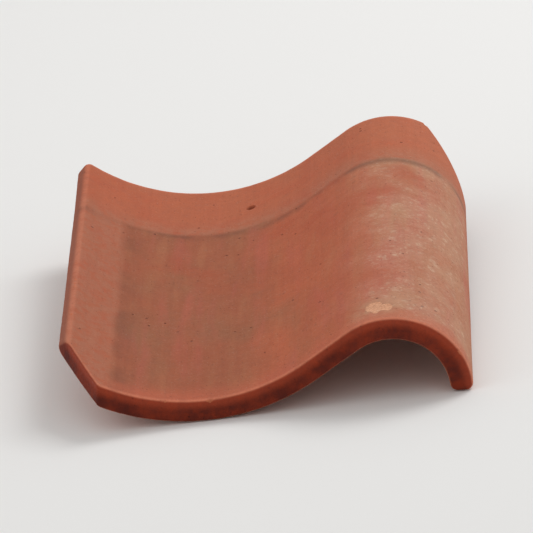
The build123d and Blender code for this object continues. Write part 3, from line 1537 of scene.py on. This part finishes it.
@dataclass(frozen=True)
class ClayField:
    """What the clay's colours are worked out from, as node outputs. Lengths are in metres.

    Attributes:
        bench: Where the nodes are made.
        solid: Object coordinates.
        place: Station, place along the slope and depth in the wall, together.
        station: The station alone.
        along: The place along the slope alone.
        depth: The depth alone.
        arris: How much the arris is rubbed; it carries the wear and a painted highlight.
        chip: How fresh the clay of a chip is.
        end: One on both end faces.
        head: One on the head's face.
        cloud: The broadest noise.
        patch: Noise of the size of a hand's patches.
        mottle: Noise of the size of a fingertip.
        grain: Noise of the size of coarse sand.
        drag: Fine lines up the slope.
        ragged: Object coordinates jostled by the grain, for dots that aren't round.
    """

    bench: Bench
    solid: Socket
    place: Socket
    station: Socket
    along: Socket
    depth: Socket
    arris: Socket
    chip: Socket
    end: Socket
    head: Socket
    cloud: Socket
    patch: Socket
    mottle: Socket
    grain: Socket
    drag: Socket
    ragged: Socket

    @staticmethod
    def of(bench: Bench) -> "ClayField":
        """Reads the tile's own attributes and lays out the noises that several colours share.

        Args:
            bench: Where the nodes are made.

        Returns:
            The field.
        """
        place, wear = (
            bench.add("Attribute", {}, attribute_name=name).outputs["Vector"]
            for name in ("clay_place", "clay_wear")
        )
        solid = bench.add("TexCoord", {}).outputs["Object"]
        station, along, depth = bench.add("SeparateXYZ", {0: place}).outputs
        arris, chip, facing = bench.add("SeparateXYZ", {0: wear}).outputs
        grain = bench.noise(solid, size=1.3, detail=3.0, seed=1.9, rough=0.6)
        return ClayField(
            bench=bench,
            solid=solid,
            place=place,
            station=station,
            along=along,
            depth=depth,
            arris=arris,
            chip=chip,
            end=bench.fade(bench.maths("ABSOLUTE", facing), 0.45, 0.95),
            head=bench.fade(facing, 0.45, 0.95),
            cloud=bench.noise(solid, size=95.0, detail=2.0),
            patch=bench.noise(solid, size=27.0, detail=3.0, seed=3.1),
            mottle=bench.noise(solid, size=6.5, detail=4.0, seed=7.7, rough=0.62),
            grain=grain,
            drag=bench.noise(place, size=3.4, detail=2.0, stretch=(1.0, 0.03, 0.3), seed=0.4),
            ragged=bench.scaled(bench.centred(grain), (0.0011, -0.0012, 0.0010), solid),
        )

    def wandering(self, value: Socket, patch_reach: float, cloud_reach: float) -> Socket:
        """A distance that wanders with the patches and the clouds.

        Args:
            value: The true distance.
            patch_reach: How far the patches move it, from their lowest to their highest.
            cloud_reach: How far the clouds do.

        Returns:
            The distance, which is off by up to half of both reaches either way.
        """
        patches = self.bench.product(self.bench.centred(self.patch), patch_reach)
        clouds = self.bench.product(self.bench.centred(self.cloud), cloud_reach)
        return self.bench.total(value, self.bench.total(patches, clouds))


@dataclass(frozen=True)
class FiredClay:
    """Weathered unglazed terracotta: duller in the pan from dirt and painted shade, bleached on the
    crown with a painted sheen, fresh where lapped.

    The colours are as they look on a screen, each named for where it shows, and lengths are in
    metres. A reach gives two distances, at which something starts and at which it is full.

    Attributes:
        head_lap: Place along the slope from which the upper course covers the tile.
        head_soft: Half the width of that edge.
        head_dirt: Reach of the dirt below the edge.
        head_dust: How far above the edge the dust goes.
        side_lap: Station up to which the next tile's roll covers the lip.
        side_soft: Half the width of that edge.
        side_shade: Reach of the painted shade beside the edge, where the next roll would shade the pan.
        last_station: Station of the end of the roll.
        spall_station: Station of the middle of the spall.
        spall_along: Its place along the slope.
        spall_reach: Reach of the spall from its middle.
        smear_across: Reach of the bleached clay round it across the tile.
        smear_along: The same along the slope.
        specular: Specular level of the matt clay.
    """

    fresh: Triple = (181, 99, 68)
    # Duller pan: dirt, and painted shade for the shadow that a neighbouring roll casts over it
    pan: Triple = (158, 88, 60)
    olive: Triple = (148, 97, 68)
    flank: Triple = (180, 95, 63)
    # Paler roll: bleached clay, and a painted sheen where light catches the crown and its right side
    crown: Triple = (183, 120, 98)
    tan: Triple = (182, 134, 104)
    pale_speck: Triple = (204, 160, 137)
    lichen: Triple = (208, 176, 150)
    ruddy: Triple = (172, 78, 51)
    rosy: Triple = (184, 92, 80)
    sandy: Triple = (176, 116, 80)
    warm_brink: Triple = (190, 97, 70)
    # Paler arris: rubbed clay, and a painted highlight where light would catch the edge
    arris: Triple = (205, 120, 90)
    # End faces: the tail's is darker from dirt and from painted shade, standing in for the shade of a
    # face that looks down the slope and the shadow under it; the brink colour is a painted highlight
    # along its weathered side
    end_face: Triple = (122, 40, 16)
    end_shade: Triple = (86, 23, 8)
    end_painted_lit_brink: Triple = (152, 57, 29)
    head_face: Triple = (158, 78, 52)
    side: Triple = (146, 79, 57)
    # Dark brown for mottled dirt, and for the painted shade beside the next roll's lap
    grime_and_shade: Triple = (104, 64, 49)
    dust: Triple = (158, 116, 95)
    chip: Triple = (196, 108, 72)
    spall: Triple = (226, 168, 132)
    underside: Triple = (184, 107, 77)
    mould_sand: Triple = (200, 140, 108)
    bloom: Triple = (205, 170, 150)
    head_lap: float = 0.0965
    head_soft: float = 0.0035
    head_dirt: Pair = (0.013, 0.002)
    head_dust: float = 0.028
    side_lap: float = 0.030
    side_soft: float = 0.004
    side_shade: Pair = (0.020, 0.002)
    last_station: float = 0.2893
    spall_station: float = 0.2037
    spall_along: float = -0.1495
    spall_reach: Pair = (0.020, 0.014)
    smear_across: Pair = (0.021, 0.004)
    smear_along: Pair = (0.019, 0.004)
    specular: float = 0.3

    def material(self) -> bpy.types.Material:
        """Builds the clay's nodes: colour by zone, roughness and the height of its fine grain.

        Returns:
            The material.
        """
        bench = Bench(bpy.data.materials.new("fired_clay"))
        clay = ClayField.of(bench)
        coats = self.laps(clay) + self.edges(clay) + self.below(clay) + self.breaks(clay)
        colour = bench.coated(self.open_face(clay), *coats)
        pits = bench.spots(clay.ragged, size=9.0, radius=0.11, share=0.30)
        pores = bench.spots(clay.ragged, size=2.7, radius=0.17, share=0.30, seed=0.37)
        sand = bench.spots(clay.ragged, size=1.9, radius=0.30, share=0.35, seed=0.71)
        tone = bench.weighed(
            (clay.drag, 0.14), (clay.grain, 0.34), (clay.mottle, 0.30), (clay.patch, 0.14), (0.54,)
        )
        grey = bench.add("CombineColor", {0: tone, 1: tone, 2: tone}).outputs[0]
        # Pits and pores take the dark end colour: painted shade in the recesses that the bump sinks
        colour = bench.coated(
            bench.mix(1.0, colour, grey, "MULTIPLY"),
            (bench.product(bench.larger(pits, pores), 0.58), self.end_shade),
            (bench.product(sand, bench.rest(clay.end), 0.20), self.pale_speck),
        )
        cut = bench.noise(clay.place, size=1.6, detail=2.0, stretch=(1.0, 1.0, 0.08), seed=6.1)
        height = bench.weighed(
            (clay.grain, 0.30), (clay.mottle, 0.34), (clay.drag, 0.20), (clay.patch, 0.36),
            (sand, 0.13), (pores, -0.30), (pits, -0.80), (cut, clay.end, 0.45),
            (clay.grain, clay.chip, 0.8),
        )
        bump = bench.add("Bump", {"Strength": 1.0, "Distance": MM, "Height": height}).outputs[0]
        worn = bench.total(clay.mottle, bench.product(clay.arris, -0.3))
        roughness = bench.fade(worn, 0.1, 0.8, low=0.78, high=0.93)
        inputs = {"Base Color": colour, "Roughness": roughness, "Normal": bump}
        inputs["Specular IOR Level"] = self.specular
        return bench.finish("OutputMaterial", bench.add("BsdfPrincipled", inputs).outputs[0])

    def open_face(self, clay: ClayField) -> Socket:
        """Colour of the weathered face: dull in the pan from dirt and painted shade, warm on the flank,
        bleached on the crown with a painted sheen.

        Args:
            clay: The clay's places and noises.

        Returns:
            The colour.
        """
        bench = clay.bench
        across = bench.maths("DIVIDE", clay.wandering(clay.station, 0.034, 0.045), self.last_station)
        stops = [(0.0, self.pan), (0.34, self.pan), (0.52, self.flank), (1.0, self.flank)]
        olive = bench.noise(clay.place, size=58.0, detail=3.0, stretch=(1.0, 0.55, 1.0), seed=4.4)
        # The olive coat is held to the pan: olive dirt, and painted shade from a neighbouring roll
        pan_dirt_and_shade = bench.fade(across, 0.62, 0.38, low=0.10, high=0.85)
        greyed = bench.larger(bench.fade(olive, 0.42, 0.62), bench.fade(across, 0.72, 0.90, high=0.8))
        on_roll, far_side = bench.fade(across, 0.58, 0.80), bench.fade(across, 1.04, 0.93, low=0.4)
        # Paler over the roll and past the crown: real bleaching, and a painted sheen and highlight
        # where light falls on the crown and right side
        bleach_and_sheen = bench.product(on_roll, far_side, bench.fade(clay.patch, 0.2, 0.65, low=0.55))
        return bench.coated(
            bench.ramp(across, stops),
            (bench.product(bench.fade(olive, 0.40, 0.68), pan_dirt_and_shade), self.olive),
            (bleach_and_sheen, bench.mix(greyed, self.crown, self.tan)),
            *self.crust(clay, bleach_and_sheen),
            *self.stains(clay),
        )

    def crust(self, clay: ClayField, bleach_and_sheen: Socket) -> list[Coat]:
        """Pale specks and ragged dots of lichen, in two sizes, that sit where the clay is bleached.

        Args:
            clay: The clay's places and noises.
            bleach_and_sheen: How bleached the clay is, with the painted sheen on the roll.

        Returns:
            The two coats.
        """
        bench = clay.bench
        fine = bench.noise(clay.solid, size=2.2, detail=3.0, seed=5.3, rough=0.7)
        pale = bench.larger(bench.fade(fine, 0.52, 0.72), bench.fade(clay.mottle, 0.50, 0.70, high=0.6))
        specks = bench.product(pale, bench.fade(bleach_and_sheen, 0.1, 0.8, low=0.10, high=0.44))
        spread = bench.scaled(bench.centred(clay.mottle), (0.011, -0.010, 0.012), clay.ragged)
        lichen = bench.product(
            bench.larger(
                bench.spots(spread, size=7.5, radius=0.44, share=0.55, seed=0.53),
                bench.spots(spread, size=3.6, radius=0.42, share=0.55, seed=0.19),
            ),
            bench.fade(fine, 0.36, 0.58, low=0.25),
            bench.fade(bleach_and_sheen, 0.25, 0.9, high=0.50),
            bench.fade(clay.patch, 0.35, 0.60, low=0.35),
        )
        return [(specks, self.pale_speck), (lichen, self.lichen)]

    def stains(self, clay: ClayField) -> list[Coat]:
        """Rosy and sandy streaks up the slope, reddish patches, the warm brink and mottled dark dirt.

        Args:
            clay: The clay's places and noises.

        Returns:
            The five coats.
        """
        bench = clay.bench
        streak = bench.noise(clay.place, size=13.0, detail=2.0, stretch=(1.0, 0.13, 0.3), seed=5.9)
        blush = bench.noise(clay.solid, size=62.0, detail=3.0, seed=9.2)
        up_slope = bench.fade(clay.along, -0.03, 0.085, low=0.12, high=0.62)
        by_tail = bench.fade(clay.wandering(clay.along, 0.020, 0.020), -0.148, -0.168)
        drip = bench.product(by_tail, bench.fade(clay.patch, 0.2, 0.6, low=0.25, high=0.6))
        return [
            (bench.fade(streak, 0.50, 0.72, high=0.30), self.rosy),
            (bench.fade(streak, 0.47, 0.30, high=0.26), self.sandy),
            (bench.product(up_slope, bench.fade(blush, 0.44, 0.64)), self.ruddy),
            (drip, self.warm_brink),
            (bench.product(bench.fade(clay.mottle, 0.56, 0.78), 0.32), self.grime_and_shade),
        ]

    def laps(self, clay: ClayField) -> list[Coat]:
        """Fresher clay where the upper course and the next roll cover the tile, dirt below the upper
        course, and painted shade beside the next roll.

        Args:
            clay: The clay's places and noises.

        Returns:
            The covered clay, and the line of dirt and painted shade.
        """
        bench, head, side = clay.bench, self.head_lap, self.side_lap
        up = clay.wandering(clay.along, 0.007, 0.006)
        over = clay.wandering(clay.station, 0.003, 0.006)
        under_head = bench.fade(up, head - self.head_soft, head + self.head_soft)
        under_side = bench.fade(over, side + self.side_soft, side - self.side_soft)
        covered = bench.product(bench.larger(under_head, under_side), 0.88)
        reddened = bench.mix(bench.fade(clay.patch, 0.40, 0.72, high=0.4), self.fresh, self.ruddy)
        dust = bench.fade(up, head + self.head_dust, head)
        dusty = bench.product(dust, bench.fade(clay.mottle, 0.3, 0.6), 0.45)
        below_head = bench.fade(up, *(head - gap for gap in self.head_dirt))
        # Beside the next roll's edge this dark band is painted shade, where that roll would shade the
        # pan; below the upper course it is dirt
        beside = bench.fade(over, *(side + gap for gap in self.side_shade))
        dirt = bench.larger(
            bench.product(bench.rest(under_head), below_head),
            bench.product(bench.rest(under_side), beside, bench.rest(under_head), 0.6),
        )
        lap_dirt_and_painted_shade = bench.product(dirt, bench.fade(clay.patch, 0.36, 0.62, low=0.08, high=0.62))
        return [(covered, bench.mix(dusty, reddened, self.dust)), (lap_dirt_and_painted_shade, self.grime_and_shade)]

    def edges(self, clay: ClayField) -> list[Coat]:
        """Colour of the long edges, the worn arris with its painted highlight, and the end faces: dark
        at the tail from dirt and painted shade, with a painted lit strip along its weathered side.

        Args:
            clay: The clay's places and noises.

        Returns:
            The three coats.
        """
        bench = clay.bench
        # The rubbed arris gets a paler colour: partly wear, partly a painted highlight
        worn = bench.product(clay.arris, bench.fade(clay.mottle, 0.25, 0.6, low=0.45, high=0.95))
        end_mottle = bench.weighed((clay.patch, 0.6), (clay.mottle, 0.4))
        # Painted light on the tail face: a lit strip by the weathered side, and below it dirt mixed
        # with painted shade
        brink = bench.product(bench.fade(clay.depth, 0.0080, 0.0002), 0.85)
        dirt_and_painted_shade = bench.mix(bench.fade(end_mottle, 0.38, 0.62), self.end_shade, self.end_face)
        dark = bench.mix(brink, dirt_and_painted_shade, self.end_painted_lit_brink)
        sheltered = bench.mix(bench.fade(end_mottle, 0.36, 0.64), self.head_face, self.fresh)
        return [
            (bench.fade(clay.depth, 0.0015, 0.006, high=0.85), self.side),
            (worn, self.arris),
            (clay.end, bench.mix(clay.head, dark, sheltered)),
        ]

    def below(self, clay: ClayField) -> list[Coat]:
        """Colour of the sheltered underside: mould sand, scrapes up the slope and a pale bloom.

        Args:
            clay: The clay's places and noises.

        Returns:
            The one coat.
        """
        bench = clay.bench
        fine = bench.noise(clay.solid, size=2.0, detail=3.0, seed=2.6, rough=0.7)
        scrape = bench.noise(clay.place, size=9.0, detail=3.0, stretch=(1.0, 0.06, 0.1), seed=8.3)
        cloudy, powdery = bench.fade(clay.cloud, 0.48, 0.70), bench.fade(fine, 0.35, 0.65, low=0.4)
        base = bench.coated(
            bench.mix(bench.fade(clay.patch, 0.35, 0.7, high=0.55), self.underside, self.fresh),
            (bench.fade(fine, 0.50, 0.74, high=0.40), self.mould_sand),
            (bench.fade(scrape, 0.50, 0.70, high=0.45), self.side),
            (bench.product(cloudy, powdery, 0.30), self.bloom),
        )
        return [(bench.product(bench.fade(clay.depth, 0.0115, 0.0138), bench.rest(clay.end)), base)]

    def breaks(self, clay: ClayField) -> list[Coat]:
        """Colour of the chips, fresh in some and weathered in others, and of the pale spall.

        Args:
            clay: The clay's places and noises.

        Returns:
            The bleached clay round the spall and the broken clay.
        """
        bench = clay.bench
        aside = bench.distance(clay.station, self.spall_station)
        beyond = bench.distance(clay.along, self.spall_along)
        on_crown = bench.product(*(bench.fade(gap, *self.spall_reach) for gap in (aside, beyond)))
        bare = bench.fade(clay.mottle, 0.30, 0.62, low=0.1, high=0.75)
        near = bench.fade(aside, *self.smear_across), bench.fade(beyond, *self.smear_along)
        body = bench.mix(bench.fade(clay.grain, 0.30, 0.58, low=0.66), self.chip, self.spall)
        age = bench.larger(on_crown, bench.fade(clay.patch, 0.35, 0.6, low=0.25, high=0.9))
        jagged = bench.noise(clay.solid, size=3.2, detail=3.0, seed=6.7, rough=0.7)
        ragged = bench.total(clay.chip, bench.product(bench.centred(jagged), 1.1))
        grainy = bench.fade(clay.grain, 0.3, 0.6, low=0.72, high=0.95)
        broken = bench.product(bench.fade(ragged, 0.20, 0.62), age, grainy)
        return [(bench.product(*near, bare), self.tan), (broken, bench.mix(on_crown, self.chip, body))]


@dataclass(frozen=True)
class PaleFloor:
    """A plain matt floor, pale enough to sit quietly under the clay."""

    colour: Triple = (238, 237, 235)
    roughness: float = 0.9

    def material(self) -> bpy.types.Material:
        """Builds the floor's shader, a matt pale grey with no pattern.

        Returns:
            The material.
        """
        bench = Bench(bpy.data.materials.new("pale_floor"))
        inputs = {"Base Color": pigment(*self.colour), "Roughness": self.roughness}
        return bench.finish("OutputMaterial", bench.add("BsdfPrincipled", inputs).outputs[0])


def put_in_scene(name: str, data: bpy.types.ID) -> bpy.types.Object:
    """Makes an object from a mesh, a lamp or a camera and puts it into the scene.

    Args:
        name: Name of the object.
        data: The mesh, lamp or camera.

    Returns:
        The object, at the origin.
    """
    piece = bpy.data.objects.new(name, data)
    bpy.context.scene.collection.objects.link(piece)
    return piece


@dataclass(frozen=True)
class Lamp:
    """A soft square lamp.

    Attributes:
        name: Name of the lamp.
        place: Where it hangs, in metres.
        side: Side of the square, in metres.
        watts: Its power.
    """

    name: str
    place: Triple
    side: float
    watts: float

    def hang(self, target: Vector) -> None:
        """Hangs the lamp and turns it to a point.

        Args:
            target: The point that it faces.
        """
        data = bpy.data.lights.new(self.name, "AREA")
        data.shape, data.size, data.energy = "SQUARE", self.side, self.watts
        piece = put_in_scene(self.name, data)
        piece.location = self.place
        piece.rotation_euler = (target - Vector(self.place)).to_track_quat("-Z", "Y").to_euler()


@dataclass(frozen=True)
class Camera:
    """A long lens that looks up the slope from the tail, level with the tile's own S.

    Attributes:
        distance: Distance from the middle of the picture, in metres.
        lift: Angle over the tile's plane, in degrees.
        turn: Angle to the side, in degrees.
        lens: Focal length in millimetres.
        sensor: Width of the sensor in millimetres.
        clip: Nearest and furthest distance that it sees, in metres.
    """

    distance: float = 3.9
    lift: float = 22.0
    turn: float = 0.8
    lens: float = 425.0
    sensor: float = 36.0
    clip: Pair = (0.05, 60.0)

    def set_up(self, placement: Placement, target: Vector) -> None:
        """Sets up the camera, with the tile's outward axis upright in the picture.

        It stands off along a way that leans back from the tail by the lift over the tile's plane
        and is turned a little to the side.

        Args:
            placement: Where the roof frame lies.
            target: The point at the middle of the picture.
        """
        x, y, z = (Vector(axis) for axis in placement.axes)
        (along, rise), (straight, aside) = (compass(angle).tolist() for angle in (self.lift, self.turn))
        back = z * rise - (y * straight - x * aside) * along
        right = (-back).cross(z).normalized()
        data = bpy.data.cameras.new("camera")
        data.lens, data.sensor_width = self.lens, self.sensor
        data.clip_start, data.clip_end = self.clip
        piece = put_in_scene("camera", data)
        turned = Matrix((right, right.cross(-back), back)).transposed().to_4x4()
        piece.matrix_world = Matrix.Translation(target + back * self.distance) @ turned
        bpy.context.scene.camera = piece


@dataclass
class Studio:
    """Floor, sky, lamps and camera. Lengths are in metres.

    Attributes:
        placement: Where the roof frame lies.
        floor_reach: Distance from the middle of the floor to its sides.
        floor_lines: Lines of the floor's grid, each way.
        sky: Strength of the even light.
        backdrop: Colour of the background, as it looks on a screen.
        lamps: The lamps.
        camera: The camera.
        finish: The floor's finish.
    """

    placement: Placement
    floor_reach: float = 6.0
    floor_lines: int = 9
    sky: float = 0.62
    backdrop: Triple = (240, 240, 239)
    lamps: tuple[Lamp, ...] = (
        Lamp("key_lamp", (1.3, 1.1, 2.1), side=1.3, watts=27.0),
        Lamp("fill_lamp", (-1.8, -0.8, 1.9), side=1.6, watts=5.0),
    )
    camera: Camera = field(default_factory=Camera)
    finish: PaleFloor = field(default_factory=PaleFloor)

    def floor(self) -> bpy.types.Object:
        """A level square sheet at nought, made from a grid of corners.

        Returns:
            The floor.
        """
        lines = np.linspace(-self.floor_reach, self.floor_reach, self.floor_lines)
        x, y = np.meshgrid(lines, lines)
        numbers = np.arange(x.size).reshape(x.shape)
        faces = np.stack(face_corners(numbers), axis=-1)
        mesh = bpy.data.meshes.new("studio_floor")
        corners = side_by_side(x, y, 0.0).reshape(-1, 3)
        mesh.from_pydata(corners.tolist(), [], faces.reshape(-1, 4).tolist())
        mesh.materials.append(self.finish.material())
        piece = put_in_scene("studio_floor", mesh)
        return piece

    def light_sky(self) -> None:
        """An even sky, with the backdrop's pale colour for what the camera and gloss see of it."""
        bench = Bench(bpy.data.worlds.new("soft_sky"))
        rays = bench.add("LightPath", {}).outputs
        shown = bench.larger(rays["Is Camera Ray"], rays["Is Glossy Ray"])
        shown = bench.larger(shown, rays["Is Transmission Ray"])
        lit = {"Strength": self.sky, "Color": pigment(255, 255, 255)}
        even = bench.add("Background", lit).outputs[0]
        seen = bench.add("Background", {"Color": pigment(*self.backdrop)}).outputs[0]
        either = bench.add("MixShader", {0: shown, 1: even, 2: seen}).outputs[0]
        bpy.context.scene.world = bench.finish("OutputWorld", either)

    def build(self, target: Vector) -> None:
        """Sets up the floor, the light and the camera round the tile.

        Args:
            target: The point that the lamps face, at the middle of the picture.
        """
        self.floor()
        self.light_sky()
        for lamp in self.lamps:
            lamp.hang(target)
        self.camera.set_up(self.placement, target)
        bpy.context.scene.view_settings.view_transform = "Standard"


def dress_tile(placement: Placement, clay: FiredClay) -> bpy.types.Object:
    """Builds the tile, puts it on the floor in place of the plain solid and gives it its clay.

    Args:
        placement: Where the roof frame lies.
        clay: The tile's finish.

    Returns:
        The finished piece.
    """
    tile = Pantile()
    shell, points, marks = tile.build()
    mesh = shell.mesh("weathered_tile", placement.place(points), tile.chart.side, marks)
    mesh.materials.append(clay.material())
    piece = put_in_scene("weathered_tile", mesh)
    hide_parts("pantile")
    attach(piece, "root")
    return piece


def main() -> None:
    """Builds the tile and the studio in order, aimed at the middle of the plain solid's box."""
    logging.basicConfig(level=logging.INFO, format="%(name)s: %(message)s")
    clay = FiredClay()
    placement = Placement.from_mounts(frame["record"]["mounts"], clay.head_lap)
    piece = dress_tile(placement, clay)
    log.info("%s rides on the root body", piece.name)
    low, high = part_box("pantile")
    Studio(placement).build((low + high) / 2)
    log.info("studio: floor, sky, two lamps and camera")


if __name__ == "__main__":
    main()
